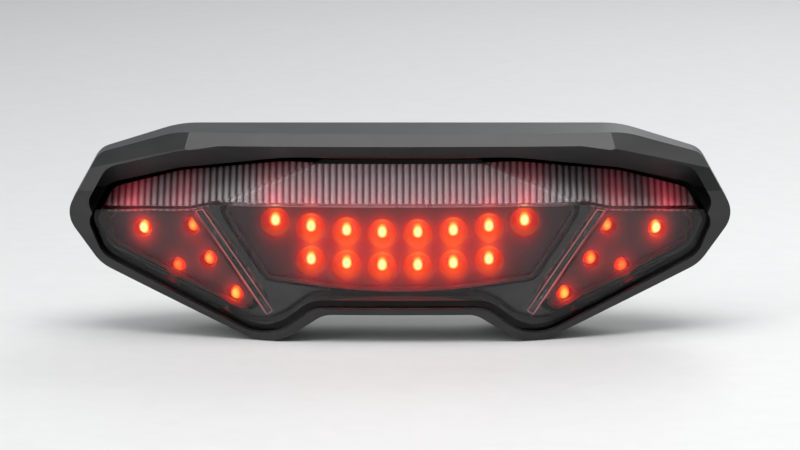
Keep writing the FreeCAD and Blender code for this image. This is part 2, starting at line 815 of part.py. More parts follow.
def upper_reflector():
    """Bright backing behind the fluted strip, with the shelf that roofs the window's cavity."""
    inset = S.lens_wall + S.band_gap + S.band_thick + S.backing_gap
    backing = band_shell("backing", inset, S.backing_thick)
    slab = cut("shelf_slab", from_shelf_up(), prism("shelf_top", BAND, S.seal_back, S.far_front))
    shelf = common("shelf", BAND_ROOM, slab, *band_facets("shelf_band", inset),
                   *window_facets("shelf_window", S.lens_wall + S.band_gap))
    return keep(fused("upper_reflector_body", backing, shelf), "upper_reflector")


def light_blades():
    """Clear plates that stand on edge between the middle and each wing."""
    for label, side in (("left", -1), ("right", 1)):
        where = move((S.blade_across * side, 0, S.blade_up), (0, S.blade_tilt * side, 0))
        plate = block(f"{label}_blade", where, (0, 0), S.blade_thick, S.blade_length,
                      S.blade_back, S.blade_front)
        keep(cut(f"{label}_blade_body", plate, from_shelf_up()), f"{label}_light_blade")


def trims():
    """Dark plates that fill the two lower corners between the reflectors and the lens's wall."""
    plate = prism("trim_plate", grown("trim_outline", LENS, -S.trim_inset), S.trim_back, S.trim_front)
    holes = [from_shelf_up()]
    for label, where, side, _, _, _, _ in MODULES:
        shape = grown("trim_hole_outline", outline(outline_name(label, "tray"), where, side), S.trim_gap)
        holes.append(prism("trim_hole", shape, -S.post_reach, S.far_front))
    limits = band_facets("trim_limit", S.lens_wall + S.trim_gap)
    limits += window_facets("trim_limit", S.lens_wall + S.trim_gap)
    for label, side in (("left", -1), ("right", 1)):
        corner = block("trim_side", HERE, (S.trim_middle * side, as_size(0)), S.trim_wide,
                       S.facet_reach, S.trim_back - S.overrun, S.trim_front + S.overrun)
        body = common("trim_body", plate, corner, *limits)
        keep(cut(f"{label}_trim_cut", body, group("trim_holes", *holes)), f"{label}_trim")


def soldered(name, where, spot, wide, high, thick):
    """A block on the back of a board."""
    return block(name, where, spot, wide, high, -(S.board_thick + thick), -S.board_thick)


def electronics():
    """Parts soldered to the backs of the boards."""
    centre = CENTRE_FRAME
    chips = [soldered("chip", centre, spot, S.chip_wide, S.chip_high, S.chip_thick) for spot in CHIPS]
    keep(group("chip_set", *chips), "driver_chips")
    keep(soldered("regulator_block", centre, REGULATOR, S.regulator_wide, S.regulator_high,
                  S.regulator_thick), "regulator")
    cans = [rod("can", S.can_radius, centre, spot, -(S.board_thick + S.can_height), -S.board_thick)
            for spot in CAPACITORS]
    keep(group("can_set", *cans), "capacitors")
    diodes = [soldered("diode", centre, spot, S.diode_wide, S.diode_high, S.diode_thick)
              for spot in DIODES]
    keep(group("diode_set", *diodes), "protection_diodes")
    places = [(centre, (S.resistor_pitch * (i - (CENTRE_RESISTORS - 1) / 2), S.resistor_up))
              for i in range(CENTRE_RESISTORS)]
    for side in (-1, 1):
        places += [(wing_frame(side), (across * side, up)) for across, up in WING_RESISTORS]
    resistors = [soldered("resistor", where, spot, S.resistor_wide, S.resistor_high, S.resistor_thick)
                 for where, spot in places]
    keep(group("resistor_set", *resistors), "board_resistors")


def contact_spots():
    return [(S.contact_pitch * (i - (CONTACTS - 1) / 2), S.inlet_up) for i in range(CONTACTS)]


def inlet():
    """Sealed inlet in the housing's back: four contacts that plug into the board's header."""
    contacts = [block("contact", HERE, spot, S.contact_side, S.contact_side,
                      S.tub_back - S.contact_out, S.tub_back + S.tub_wall + S.contact_in)
                for spot in contact_spots()]
    keep(group("contact_set", *contacts), "inlet_contacts")
    spot = (0, S.inlet_up)
    walls = S.inlet_seal_wall * 2
    ring = block("seal_ring", HERE, spot, S.inlet_wide + walls, S.inlet_high + walls,
                 S.tub_back - S.inlet_seal_depth, S.tub_back)
    hole = block("seal_ring_hole", HERE, spot, S.inlet_wide, S.inlet_high,
                 S.tub_back - S.inlet_seal_depth - S.overrun, S.tub_back + S.overrun)
    keep(cut("inlet_seal_ring", ring, hole), "inlet_seal")


def board_headers():
    """Connectors on the backs of the boards."""
    back = S.centre_board_front - S.board_thick
    body = block("inlet_header", HERE, (0, S.inlet_up), S.inlet_header_wide, S.inlet_header_high,
                 S.tub_back + S.tub_wall + S.inlet_header_gap, back)
    slots = [block("header_slot", HERE, spot, S.contact_side, S.contact_side, S.tub_back,
                   S.tub_back + S.tub_wall + S.contact_in) for spot in contact_spots()]
    made = [cut("inlet_header_cut", body, group("header_slots", *slots))]
    for side in (-1, 1):
        for where, (across, up) in ((CENTRE_FRAME, CENTRE_HEADER), (wing_frame(side), WING_HEADER)):
            made.append(block("header", where, (across * side, up), S.header_wide, S.header_high,
                              -(S.board_thick + S.header_depth), -S.board_thick))
    keep(group("header_set", *made), "board_headers")


def bent_wire(points, bend):
    """Straight runs joined by tangent arcs."""
    edges = []
    start = points[0]
    for before, corner, after in zip(points, points[1:], points[2:]):
        to_before = (before - corner).normalize()
        to_after = (after - corner).normalize()
        half = to_before.getAngle(to_after) / 2
        enter = corner + to_before * (bend / math.tan(half))
        leave = corner + to_after * (bend / math.tan(half))
        inward = (to_before + to_after).normalize()
        middle = corner + inward * (bend / math.sin(half) - bend)
        edges.append(Part.LineSegment(start, enter).toShape())
        edges.append(Part.Arc(enter, middle, leave).toShape())
        start = leave
    edges.append(Part.LineSegment(start, points[-1]).toShape())
    return Part.Wire(edges)


def jumper_leads():
    """Two wires from the middle board to each wing board, behind the boards."""
    depth = S.board_thick.value + S.header_depth.value / 2
    first_run = S.jumper_start_run.value
    last_run = S.jumper_end_run.value
    for label, side in (("left", -1), ("right", 1)):
        turn = FreeCAD.Rotation(S.wing_module_yaw.value * side, 0, S.wing_module_lean.value)
        corner = Vector(S.wing_across.value * side, -S.wing_module_front.value, S.wing_module_up.value)
        inboard = (WING_HEADER[0] - S.header_wide.value / 2) * side
        wires = []
        for level in (-1, 1):
            rise = Vector(0, 0, S.wire_pitch.value / 2 * level)
            start = Vector((CENTRE_HEADER[0] + S.header_wide.value / 2) * side,
                           depth - S.centre_board_front.value, CENTRE_HEADER[1]) + rise
            end = corner + turn.multVec(Vector(inboard, depth, WING_HEADER[1])) + rise
            along = turn.multVec(Vector(side, 0, 0))
            path = bent_wire([start, start + Vector(first_run * side, 0, 0), end - along * last_run, end],
                             S.wire_bend.value)
            section = Part.Wire(Part.Circle(start, Vector(side, 0, 0), S.wire_radius.value).toShape())
            wires.append(path.makePipeShell([section], True, True))
        lead = DOC.addObject("Part::Feature", f"{label}_lead")
        lead.Shape = Part.makeCompound(wires)
        keep(lead, f"{label}_jumper_lead")


def vent_spots():
    return [(S.vent_across * side, S.vent_up) for side in (-1, 1)]


def vents():
    """Breathers: a membrane on each stub, under a slotted cap."""
    top = S.tub_back - S.vent_boss_height
    slot_long = S.vent_cap * 2 + S.overrun
    discs = []
    caps = []
    for spot in vent_spots():
        discs.append(rod("membrane", S.membrane_radius, HERE, spot, top - S.membrane_thick, top))
        cap = rod("cap_outside", S.vent_cap, HERE, spot, top - S.vent_cap_rise, top + S.vent_cap_skirt)
        hollow = rod("cap_inside", S.vent_boss, HERE, spot, top - S.vent_cap_roof,
                     top + S.vent_cap_skirt + S.overrun)
        slots = [block("cap_slot", HERE, spot, wide, high, top - S.vent_cap_roof, top)
                 for wide, high in ((slot_long, S.vent_slot), (S.vent_slot, slot_long))]
        caps.append(cut("cap", cap, fused("cap_cuts", hollow, *slots)))
    keep(group("membrane_set", *discs), "vent_membranes")
    keep(group("cap_set", *caps), "vent_caps")


def build():
    outer_lens()
    lens_seal()
    bezel()
    bezel_screws()
    for label, where, side, spots, screws, pegs, cup in MODULES:
        board(label, where, side, screws, pegs)
        leds(label, where, spots)
        reflector(label, where, side, spots, pegs, cup)
        board_screws(label, where, screws)
    rear_housing()
    threaded_inserts()
    fluted_band()
    upper_reflector()
    light_blades()
    trims()
    electronics()
    inlet()
    board_headers()
    jumper_leads()
    vents()


def check():
    """Stops on anything that failed, before a file is written."""
    for thing in DOC.Objects:
        if "Invalid" in thing.State or "Error" in thing.State:
            raise RuntimeError(f"{thing.Name} failed: {thing.State}")
    labels = [thing.Label for thing in KEPT]
    if len(set(labels)) != len(labels):
        raise RuntimeError("two sub-parts share a name")
    for thing in KEPT:
        if thing.Shape.isNull() or not thing.Shape.isValid() or not thing.Shape.Solids:
            raise RuntimeError(f"{thing.Label} has no valid solid")


build()
DOC.recompute()
check()
os.makedirs("parts", exist_ok=True)
for sub_part in KEPT:
    sub_part.Shape.exportStep(f"parts/{sub_part.Label}.step")
    box = sub_part.Shape.BoundBox
    print(f"{sub_part.Label}: {len(sub_part.Shape.Solids)} solids, {sub_part.Shape.Volume:.0f} mm3, "
          f"{box.XLength:.1f} x {box.YLength:.1f} x {box.ZLength:.1f}")
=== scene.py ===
import json
import math

import bmesh
import bpy
from mathutils import Matrix, Vector
from mathutils.bvhtree import BVHTree


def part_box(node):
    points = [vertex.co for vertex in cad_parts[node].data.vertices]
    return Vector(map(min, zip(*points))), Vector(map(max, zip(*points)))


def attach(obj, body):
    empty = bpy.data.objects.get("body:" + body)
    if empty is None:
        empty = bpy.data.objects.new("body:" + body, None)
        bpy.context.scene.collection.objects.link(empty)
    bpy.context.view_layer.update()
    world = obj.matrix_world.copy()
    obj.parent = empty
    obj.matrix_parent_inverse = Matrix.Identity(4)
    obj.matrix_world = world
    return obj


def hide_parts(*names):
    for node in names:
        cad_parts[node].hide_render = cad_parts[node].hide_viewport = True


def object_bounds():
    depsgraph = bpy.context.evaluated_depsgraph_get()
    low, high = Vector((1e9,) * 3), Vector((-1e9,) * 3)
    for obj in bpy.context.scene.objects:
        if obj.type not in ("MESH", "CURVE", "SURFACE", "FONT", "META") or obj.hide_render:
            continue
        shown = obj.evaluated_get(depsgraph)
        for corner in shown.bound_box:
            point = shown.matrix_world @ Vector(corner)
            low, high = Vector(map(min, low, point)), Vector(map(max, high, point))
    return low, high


# Looks of a motorcycle tail light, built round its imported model.  Units are metres; -Y is the lit side.

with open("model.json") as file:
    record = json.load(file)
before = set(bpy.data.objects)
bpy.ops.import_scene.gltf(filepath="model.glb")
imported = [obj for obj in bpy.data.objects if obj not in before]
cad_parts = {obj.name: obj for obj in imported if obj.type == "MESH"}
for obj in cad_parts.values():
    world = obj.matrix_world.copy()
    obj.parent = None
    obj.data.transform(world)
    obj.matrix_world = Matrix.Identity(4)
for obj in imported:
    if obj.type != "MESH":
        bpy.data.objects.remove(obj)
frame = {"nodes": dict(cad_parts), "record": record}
cad_low, cad_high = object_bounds()
NODES = frame["nodes"]
MM = 0.001
WELD = 0.001 * MM

# How each module's board is turned about Z and then leant about X, in degrees: the wings face outwards.
MODULES = {"centre": (0, 0), "left": (-16, 4), "right": (16, 4)}
OUTWARDS = {"centre": 1, "left": -1, "right": 1}

# How bright the diodes of a wing are, in order from its tip inwards.
WING_BRIGHTNESS = (1.0, 0.5, 0.62, 0.62, 0.72)

# A diode: how high its package is over the board, and the neck and the half ball of its dome.
PACKAGE_HEIGHT = 3 * MM
DOME_NECK = 1.2 * MM
DOME_RADIUS = 2.4 * MM
DOME_RINGS = 16
DOME_SIDES = 40

# A dome's hot core is taller than it is wide, and this is how abruptly it ends.
CORE_SQUEEZE = 0.72
CORE_EDGE = 2.6

# How far the painted light of the diodes carries across a tray, and the share of it that carries further
# still.
TRAY_GLOW_SPREAD = 4.6 * MM
TRAY_GLOW_TAIL = 0.24
TRAY_GLOW_START = 2.5 * MM
GLOW_SQUEEZE = 0.8

FLUTE_PITCH = 2.4 * MM
FLUTE_DEPTH = 0.75 * MM
COLUMNS_PER_RIB = 8
BAND_ROWS = 26
BAND_LEAST_DEPTH = 0.3 * MM

# The strip's groove attribute is 0 on a crease between facets, this on a rib's crest and 1 in a groove; it
# sets the strip's painted highlight on creases and painted shade in grooves.
CREST = 0.2

# The painted red spots of diode light in the band lie this far above the diodes.
BAND_GLOW_RISE = 9 * MM
BAND_GLOW_SPREAD = 6 * MM
BAND_GLOW = 0.75

# The band's wing facets face upwards more than its middle facet: the Z of their normals is above this.
WING_SLOPE = 0.57

# A blade's border width, the least painted diode light on it, and how far that painted light spreads.
BLADE_BORDER = 0.45 * MM
BLADE_LEAST_GLOW = 0.15
BLADE_GLOW_SPREAD = 8 * MM

# Longest edges of the meshes that carry a painted glow.
TRAY_EDGE = 1.6 * MM
BLADE_EDGE = 1.5 * MM

# Rounding of hard edges: its width in mm, its segments, and the least angle of a hard edge in degrees.
ROUNDED = {
    "bezel": (0.6, 3, 30),
    "rear_housing": (0.5, 3, 30),
    "inlet_seal": (0.4, 3, 30),
    "vent_caps": (0.4, 3, 30),
    "bezel_screws": (0.2, 3, 30),
    "outer_lens": (0.4, 2, 18),
}

# The camera is square to the lamp, this many degrees above it, and the view is this much wider than it.
CAMERA_ELEVATION = 10
CAMERA_LENS = 200
CAMERA_SENSOR = 36
VIEW_MARGIN = 1.22

# Place, size and watts of each soft box.
SOFTBOXES = {
    "over": ((0.05, -0.25, 0.95), (1.1, 0.7), 10),
    "side": ((-0.95, -0.65, 0.55), (0.6, 0.8), 4),
    "back": ((0.5, 0.9, 0.7), (0.9, 0.5), 5),
}
SKY_COLOUR = (0.86, 0.88, 0.9, 1)
SKY_STRENGTH = 0.42
FLOOR_HALF = 6


# ---------------------------------------------------------------- materials


class Finish:
    """A material with short calls for the nodes used here."""

    def __init__(self, name):
        self.material = bpy.data.materials.new(name)
        self.material.use_nodes = True
        self.tree = self.material.node_tree
        self.surface = self.tree.nodes["Principled BSDF"]
        self.place = self.tree.nodes.new("ShaderNodeTexCoord").outputs["Object"]

    def set(self, **values):
        """Gives the surface's inputs fixed values."""
        for name, value in values.items():
            self.surface.inputs[name.replace("_", " ")].default_value = value

    def feed(self, **sockets):
        """Joins sockets to the surface's inputs."""
        for name, socket in sockets.items():
            self.tree.links.new(socket, self.surface.inputs[name.replace("_", " ")])

    def node(self, kind, **inputs):
        """A new node whose inputs are sockets or fixed values."""
        made = self.tree.nodes.new(kind)
        for name, value in inputs.items():
            socket = made.inputs[name.replace("_", " ")]
            if isinstance(value, bpy.types.NodeSocket):
                self.tree.links.new(value, socket)
            else:
                socket.default_value = value
        return made

    def noise(self, size, detail=3.0, stretch=(1, 1, 1)):
        """Noise whose features are about size across."""
        mapped = self.node("ShaderNodeMapping", Vector=self.place, Scale=stretch).outputs["Vector"]
        return self.node("ShaderNodeTexNoise", Vector=mapped, Scale=1 / size, Detail=detail).outputs["Fac"]

    def ramp(self, value, *stops):
        """Colours along a value from 0 to 1."""
        made = self.node("ShaderNodeValToRGB", Fac=value)
        points = made.color_ramp.elements
        while len(points) < len(stops):
            points.new(0.5)
        for point, (at, colour) in zip(points, stops):
            point.position = at
            point.color = (*colour, 1)
        return made.outputs["Color"]

    def painted(self, attribute, *stops):
        """Colours along a number that the mesh itself carries."""
        made = self.tree.nodes.new("ShaderNodeAttribute")
        made.attribute_name = attribute
        return self.ramp(made.outputs["Fac"], *stops)

    def spread(self, value, low, high):
        """A value from 0 to 1 spread between two numbers."""
        made = self.node("ShaderNodeMapRange", Value=value, To_Min=low, To_Max=high)
        return made.outputs["Result"]

    def bump(self, height, distance, strength):
        made = self.node("ShaderNodeBump", Height=height, Distance=distance, Strength=strength)
        self.feed(Normal=made.outputs["Normal"])


def moulded(name, colour, roughness, grain, depth):
    """Textured plastic: a fine grain over faint, lighter flow marks."""
    made = Finish(name)
    flow = made.noise(18 * MM, 2, (1, 1, 3))
    light = tuple(c * 1.5 + 0.006 for c in colour)
    made.feed(Base_Color=made.ramp(flow, (0.3, colour), (0.75, light)))
    fine = made.noise(grain, 4)
    made.feed(Roughness=made.spread(fine, roughness - 0.08, roughness + 0.1))
    made.bump(fine, depth, 0.6)
    return made


def metal(name, colour, roughness, brushed=0):
    """Bare or plated metal with faint streaks."""
    made = Finish(name)
    made.set(Metallic=1)
    streaks = made.noise(0.6 * MM, 3, (1, 1, 1 + 8 * brushed))
    dark = tuple(c * 0.8 for c in colour)
    made.feed(Base_Color=made.ramp(streaks, (0.25, dark), (0.75, colour)))
    made.feed(Roughness=made.spread(streaks, roughness - 0.06, roughness + 0.08))
    made.bump(streaks, 0.01 * MM, 0.4)
    return made


def clear(name, colour, roughness):
    """Clear plastic with a little haze.  Its low index keeps thin walls from turning milky."""
    made = Finish(name)
    made.set(Transmission_Weight=1, IOR=1.3)
    haze = made.noise(12 * MM, 2)
    light = tuple(min(1, c * 1.04) for c in colour)
    made.feed(Base_Color=made.ramp(haze, (0.2, colour), (0.9, light)))
    made.feed(Roughness=made.spread(haze, roughness, roughness * 2))
    return made


def fluted(name):
    """Clear ribbed plastic with painted shade darkening the grooves, a painted highlight along the creases
    and painted pink light over the diodes.
    """
    made = Finish(name)
    made.set(Transmission_Weight=0.65, IOR=1.49, Emission_Strength=0.8)
    # Painted light in the base colour: a pale painted highlight on the creases, darker painted shade down
    # into the grooves.
    made.feed(Base_Color=made.painted("groove", (0, (1, 0.98, 0.98)), (CREST, (0.58, 0.53, 0.54)),
                                      (0.45, (0.38, 0.34, 0.35)), (0.84, (0.1, 0.08, 0.085)),
                                      (1, (0.05, 0.04, 0.045))))
    made.feed(Roughness=made.spread(made.noise(1.2 * MM, 2), 0.05, 0.12))
    # Painted light: pink-red emission over the diodes stands in for their light shining through the strip.
    made.feed(Emission_Color=made.painted("glow", (0, (0, 0, 0)), (0.5, (0.16, 0.004, 0.012)),
                                          (1, (0.62, 0.03, 0.06))))
    return made


def blade(name):
    """Clear plate with painted light on its edges where a diode is near."""
    made = clear(name, (0.84, 0.78, 0.79), 0.03)
    # Painted light: emission on the borders stands in for diode light caught by the edges.
    made.set(Emission_Strength=2.6)
    made.feed(Emission_Color=made.painted("glow", (0, (0, 0, 0)), (0.15, (0.08, 0.03, 0.032)),
                                          (0.5, (0.5, 0.06, 0.05)), (1, (1, 0.36, 0.3))))
    return made


def lit_dome(name):
    """A diode's dome: pale yellow on its axis, red at its foot."""
    made = Finish(name)
    made.set(Emission_Strength=1.5, Coat_Weight=0.4)
    fine = made.noise(0.8 * MM, 2)
    made.feed(Roughness=made.spread(fine, 0.16, 0.25))
    made.feed(Base_Color=made.ramp(fine, (0.3, (0.4, 0.04, 0.016)), (0.8, (0.5, 0.05, 0.02))))
    made.feed(Emission_Color=made.painted("glow", (0, (0.6, 0, 0)), (0.3, (0.9, 0.02, 0)),
                                          (0.5, (1, 0.13, 0.005)), (0.7, (1, 0.42, 0.04)),
                                          (0.9, (1, 0.76, 0.3))))
    return made


def smoked_metal(name):
    """Smoked metallised moulding with painted red light from the diodes, carried by its glow attribute."""
    made = Finish(name)
    made.set(Metallic=1, Emission_Strength=1)
    fine = made.noise(5 * MM, 2)
    dark = (0.028, 0.0259, 0.0266)
    made.feed(Base_Color=made.ramp(fine, (0.25, dark), (0.8, tuple(c * 1.3 for c in dark))))
    made.feed(Roughness=made.spread(fine, 0.25, 0.36))
    # Painted light: red emission pooled round each diode stands in for the diodes lighting the tray.
    made.feed(Emission_Color=made.painted("glow", (0, (0, 0, 0)), (0.15, (0.02, 0, 0.001)),
                                          (0.3, (0.09, 0, 0.002)), (0.5, (0.24, 0.001, 0.001)),
                                          (0.75, (0.6, 0.006, 0)), (1, (1, 0.06, 0.004))))
    return made


def band_metal(name):
    """Bright backing of the ribbed strip, with painted red light near the middle of the lamp."""
    made = Finish(name)
    made.set(Metallic=1, Emission_Strength=0.3)
    fine = made.noise(2.2 * MM, 3)
    made.feed(Base_Color=made.ramp(fine, (0.2, (0.26, 0.2, 0.21)), (0.8, (0.36, 0.28, 0.29))))
    made.feed(Roughness=made.spread(fine, 0.24, 0.34))
    # Painted light: red emission that fades out towards the ends stands in for the diodes lighting the
    # backing.
    split = made.node("ShaderNodeSeparateXYZ", Vector=made.place)
    across = made.node("ShaderNodeMath", Value=split.outputs["X"])
    across.operation = "ABSOLUTE"
    reach = 62 * MM
    middle = made.node("ShaderNodeMapRange", Value=across.outputs["Value"], From_Min=reach * 0.55,
                       From_Max=reach, To_Min=1, To_Max=0)
    middle.interpolation_type = "SMOOTHSTEP"
    made.feed(Emission_Color=made.ramp(middle.outputs["Result"], (0, (0.02, 0, 0)),
                                       (1, (0.5, 0.01, 0.015))))
    made.bump(fine, 0.02 * MM, 0.2)
    return made


def board_mask(name):
    """Dark solder mask over faint copper tracks."""
    made = Finish(name)
    tracks = made.node("ShaderNodeTexBrick", Vector=made.place, Scale=1 / (6 * MM), Mortar_Size=0.03,
                       Color1=(0.006, 0.05, 0.022, 1), Color2=(0.008, 0.06, 0.028, 1),
                       Mortar=(0.02, 0.12, 0.05, 1))
    made.feed(Base_Color=tracks.outputs["Color"])
    made.feed(Roughness=made.spread(made.noise(1.5 * MM), 0.25, 0.4))
    made.bump(tracks.outputs["Fac"], 0.03 * MM, 0.5)
    return made


def finishes():
    """One material for every slot of the record, and one for the trays."""
    made = {
        "bezel_black": moulded("bezel plastic", (0.008, 0.008, 0.0085), 0.36, 0.35 * MM, 0.025 * MM),
        "housing_black": moulded("housing plastic", (0.02, 0.02, 0.021), 0.55, 0.6 * MM, 0.05 * MM),
        "trim_dark": moulded("trim plastic", (0.03, 0.028, 0.03), 0.3, 0.5 * MM, 0.02 * MM),
        "seal_rubber": moulded("seal rubber", (0.01, 0.01, 0.01), 0.75, 0.3 * MM, 0.03 * MM),
        "chip_black": moulded("chip epoxy", (0.015, 0.015, 0.016), 0.6, 0.15 * MM, 0.01 * MM),
        "resistor_black": moulded("resistor ceramic", (0.03, 0.03, 0.04), 0.4, 0.2 * MM, 0.01 * MM),
        "header_cream": moulded("connector nylon", (0.62, 0.57, 0.45), 0.45, 0.3 * MM, 0.01 * MM),
        "wire_red": moulded("wire vinyl", (0.25, 0.012, 0.01), 0.35, 0.5 * MM, 0.01 * MM),
        "membrane_white": moulded("membrane", (0.7, 0.7, 0.68), 0.85, 0.1 * MM, 0.02 * MM),
        "led_package": moulded("diode package", (0.55, 0.5, 0.45), 0.3, 0.4 * MM, 0.01 * MM),
        "screw_steel": metal("screw steel", (0.52, 0.52, 0.5), 0.32),
        "brass": metal("insert brass", (0.68, 0.5, 0.22), 0.3),
        "contact_tin": metal("contact tin", (0.72, 0.7, 0.66), 0.25),
        "can_aluminium": metal("can aluminium", (0.78, 0.78, 0.78), 0.3, 1),
        "board_mask": board_mask("solder mask"),
        "reflector_bright": band_metal("band backing"),
        "lens_clear": clear("lens polycarbonate", (0.93, 0.935, 0.94), 0.012),
        "flutes_clear": fluted("fluted polycarbonate"),
        "blade_clear": blade("blade acrylic"),
        "led_dome": lit_dome("diode dome"),
        "tray": smoked_metal("smoked reflector"),
    }
    return {slot: finish.material for slot, finish in made.items()}


def paint_nodes(materials):
    """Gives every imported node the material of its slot.  The lens lets the studio's light through."""
    for part in frame["record"]["subparts"]:
        node = NODES[part["node"]]
        node.data.materials.clear()
        node.data.materials.append(materials[part["material_slot"]])
    NODES["outer_lens"].visible_shadow = False


def round_edges():
    for name, (width, segments, angle) in ROUNDED.items():
        bevel = NODES[name].modifiers.new("edges", "BEVEL")
        bevel.width = width * MM
        bevel.segments = segments
        bevel.limit_method = "ANGLE"
        bevel.angle_limit = math.radians(angle)
        bevel.harden_normals = True


# ---------------------------------------------------------------- meshes


def new_piece(name, mesh, material, replaced):
    """Links a mesh as a piece of the object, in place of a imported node."""
    mesh.materials.append(material)
    piece = bpy.data.objects.new(name, mesh)
    bpy.context.scene.collection.objects.link(piece)
    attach(piece, "root")
    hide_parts(replaced)
    return piece


def welded(node):
    """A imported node's mesh with its faces joined up."""
    bm = bmesh.new()
    bm.from_mesh(node.data)
    bmesh.ops.remove_doubles(bm, verts=bm.verts, dist=WELD)
    return bm


def finish_mesh(name, bm, sharp=None):
    """Turns a bmesh into a smooth mesh with outward faces, in which edges bent by more than sharp degrees
    stay hard."""
    bmesh.ops.dissolve_degenerate(bm, edges=bm.edges, dist=WELD)
    bmesh.ops.recalc_face_normals(bm, faces=bm.faces)
    mesh = bpy.data.meshes.new(name)
    bm.to_mesh(mesh)
    bm.free()
    mesh.validate(clean_customdata=False)
    mesh.shade_smooth()
    if sharp is not None:
        mesh.set_sharp_from_angle(angle=math.radians(sharp))
    return mesh


def refined(bm, longest):
    """Halves long edges until none is longer than this, so that the mesh can carry a smooth painted glow."""
    bmesh.ops.triangulate(bm, faces=bm.faces)
    most_rounds = 9
    for _ in range(most_rounds):
        long_edges = [edge for edge in bm.edges if edge.calc_length() > longest]
        if not long_edges:
            break
        bmesh.ops.subdivide_edges(bm, edges=long_edges, cuts=1)
        bmesh.ops.triangulate(bm, faces=[face for face in bm.faces if len(face.verts) > 3])


def border(holds, inside, outside):
    """Where between two numbers, the first of which passes a test, the test stops passing."""
    halvings = 8
    for _ in range(halvings):
        middle = (inside + outside) / 2
        if holds(middle):
            inside = middle
        else:
            outside = middle
    return inside


# ---------------------------------------------------------------- diodes


def islands(node):
    """The separate solids of a node, as lists of points."""
    bm = welded(node)
    seen = set()
    found = []
    for first in bm.verts:
        if first in seen:
            continue
        seen.add(first)
        todo = [first]
        solid = []
        while todo:
            vert = todo.pop()
            solid.append(vert.co.copy())
            for edge in vert.link_edges:
                other = edge.other_vert(vert)
                if other not in seen:
                    seen.add(other)
                    todo.append(other)
        found.append(solid)
    bm.free()
    return found


def tilt(label):
    """How a module's board is turned."""
    yaw, lean = MODULES[label]
    return Matrix.Rotation(math.radians(yaw), 4, "Z") @ Matrix.Rotation(math.radians(lean), 4, "X")


def diode_seats(label):
    """For each diode of a module, from the outside inwards, a matrix and its brightness.  The matrix's origin
    is on the face of the board and its -Y is the diode's axis."""
    turn = tilt(label)
    feet = []
    for solid in islands(NODES[f"{label}_led_domes"]):
        local = [turn.inverted() @ point for point in solid]
        low = Vector(map(min, zip(*local)))
        high = Vector(map(max, zip(*local)))
        middle = (low + high) / 2
        feet.append(Vector((middle.x, high.y + PACKAGE_HEIGHT, middle.z)))
    feet.sort(key=lambda foot: foot.x * OUTWARDS[label], reverse=True)
    brightness = [1] * len(feet) if label == "centre" else WING_BRIGHTNESS
    return [(turn @ Matrix.Translation(foot), bright) for foot, bright in zip(feet, brightness)]


def dome_profile():
    """Radius and height of a diode's dome from the middle of its foot: a short neck and a half ball."""
    profile = [(0, PACKAGE_HEIGHT), (DOME_RADIUS, PACKAGE_HEIGHT)]
    for i in range(DOME_RINGS):
        a = math.pi / 2 * i / DOME_RINGS
        profile.append((DOME_RADIUS * math.cos(a), PACKAGE_HEIGHT + DOME_NECK + DOME_RADIUS * math.sin(a)))
    return profile + [(0, PACKAGE_HEIGHT + DOME_NECK + DOME_RADIUS)]


def lathe(bm, seat, profile, glow, bright):
    """Turns a profile round a diode's axis, with a glow that falls away from the axis."""
    rings = []
    for radius, height in profile:
        ring = []
        for i in range(DOME_SIDES if radius else 1):
            a = 2 * math.pi * i / DOME_SIDES
            across, up = radius * math.cos(a), radius * math.sin(a)
            vert = bm.verts.new(seat @ Vector((across, -height, up)))
            out = math.hypot(across, up * CORE_SQUEEZE) / DOME_RADIUS
            vert[glow] = max(0, 1 - out ** CORE_EDGE) * bright
            ring.append(vert)
        rings.append(ring)
    for lower, upper in zip(rings, rings[1:]):
        for i in range(DOME_SIDES):
            j = (i + 1) % DOME_SIDES
            corners = (lower[i % len(lower)], lower[j % len(lower)],
                       upper[j % len(upper)], upper[i % len(upper)])
            face = list(dict.fromkeys(corners))
            if len(face) > 2:
                bm.faces.new(face)


def lit_domes(label, seats, materials):
    """The lit domes of a module."""
    bm = bmesh.new()
    glow = bm.verts.layers.float.new("glow")
    for seat, bright in seats:
        lathe(bm, seat, dome_profile(), glow, bright)
    mesh = finish_mesh(f"{label}_domes", bm)
    new_piece(f"{label}_lit_domes", mesh, materials["led_dome"], f"{label}_led_domes")


def lamps(seats):
    """The diodes as the painted light needs them: the way into each one's own axes, and its brightness."""
    return [(seat.inverted(), bright) for seat, bright in seats]


def painted_diode_light(spot, diodes, spread, tail=0):
    """How much painted light from the diodes a place on the lit side of their board gets, from 0 to 1."""
    total = 0
    for inwards, bright in diodes:
        local = inwards @ spot
        far = math.hypot(local.x, local.z * GLOW_SQUEEZE)
        near_light = math.exp(-(far / spread) ** 2)
        far_light = math.exp(-far / (2 * spread))
        total += bright * (near_light * (1 - tail) + far_light * tail)
    return min(1, total)


# ---------------------------------------------------------------- trays, strip and plates


def painted_glow_tray(label, seats, materials):
    """A module's reflector, with a painted glow of diode light that fades away from each diode."""
    node = NODES[f"{label}_reflector"]
    bm = welded(node)
    refined(bm, TRAY_EDGE)
    glow = bm.verts.layers.float.new("glow")
    diodes = lamps(seats)
    to_board = diodes[0][0]
    for vert in bm.verts:
        if (to_board @ vert.co).y < -TRAY_GLOW_START:
            vert[glow] = painted_diode_light(vert.co, diodes, TRAY_GLOW_SPREAD, TRAY_GLOW_TAIL)
    mesh = finish_mesh(f"{label}_tray", bm, sharp=25)
    new_piece(f"{label}_smoked_tray", mesh, materials["tray"], node.name)


def struck(tree, x, y, z, heading=1):
    """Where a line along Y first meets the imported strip, and which way the surface faces there."""
    return tree.ray_cast(Vector((x, y, z)), Vector((0, heading, 0)))[:2]


def strip_span(tree, x, ahead, low, high):
    """The lowest and highest points of the strip at a place across, or None beyond its ends."""
    def hit(z):
        return struck(tree, x, ahead, z)[0] is not None

    steps = 60
    step = (high - low) / steps
    inside = [z for z in (low + step * (i + 0.5) for i in range(steps)) if hit(z)]
    if not inside:
        return None
    return border(hit, inside[0], inside[0] - step), border(hit, inside[-1], inside[-1] + step)


